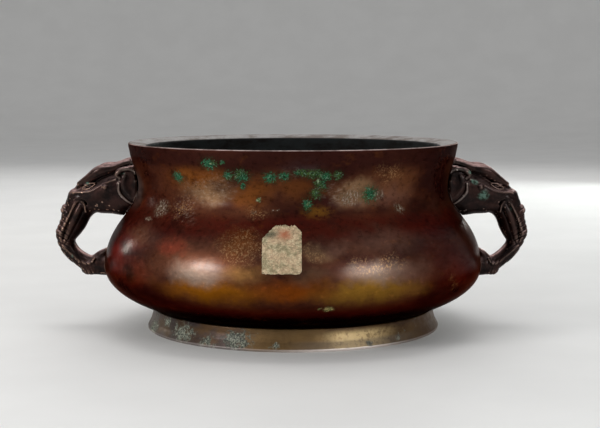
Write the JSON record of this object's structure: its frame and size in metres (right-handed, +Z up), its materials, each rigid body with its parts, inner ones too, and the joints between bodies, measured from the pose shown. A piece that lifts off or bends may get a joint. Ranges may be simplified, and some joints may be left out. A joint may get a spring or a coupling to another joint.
{
  "type": "bronze incense burner",
  "caption": "Low round bronze incense burner with a thick flared rim, swelling belly, splayed foot ring and riveted elephant-head handles with curled trunks.",
  "frame": {"origin": "centre of the face the foot ring stands on", "axes": "+Z up, +X through the right handle as seen from the label, -Y towards the side with the paper label"},
  "size_m": [0.2397, 0.1908, 0.0938],
  "materials": {
    "vessel_bronze": "polished dark red-brown patina with green and gold patches",
    "foot_bronze": "worn golden-brown patina with grey-green crust",
    "handle_bronze": "dark brown patina, rubbed to copper on the ridges",
    "rivet_bronze": "dull dark brown, hammered",
    "label_paper": "aged paper, matt"
  },
  "bodies": {
    "root": {"vessel_body": "vessel_bronze", "foot_ring": "foot_bronze", "left_elephant_handle": "handle_bronze", "right_elephant_handle": "handle_bronze", "left_upper_rivet": "rivet_bronze", "left_lower_rivet": "rivet_bronze", "right_upper_rivet": "rivet_bronze", "right_lower_rivet": "rivet_bronze", "paper_label": "label_paper"}
  },
  "joints": []
}
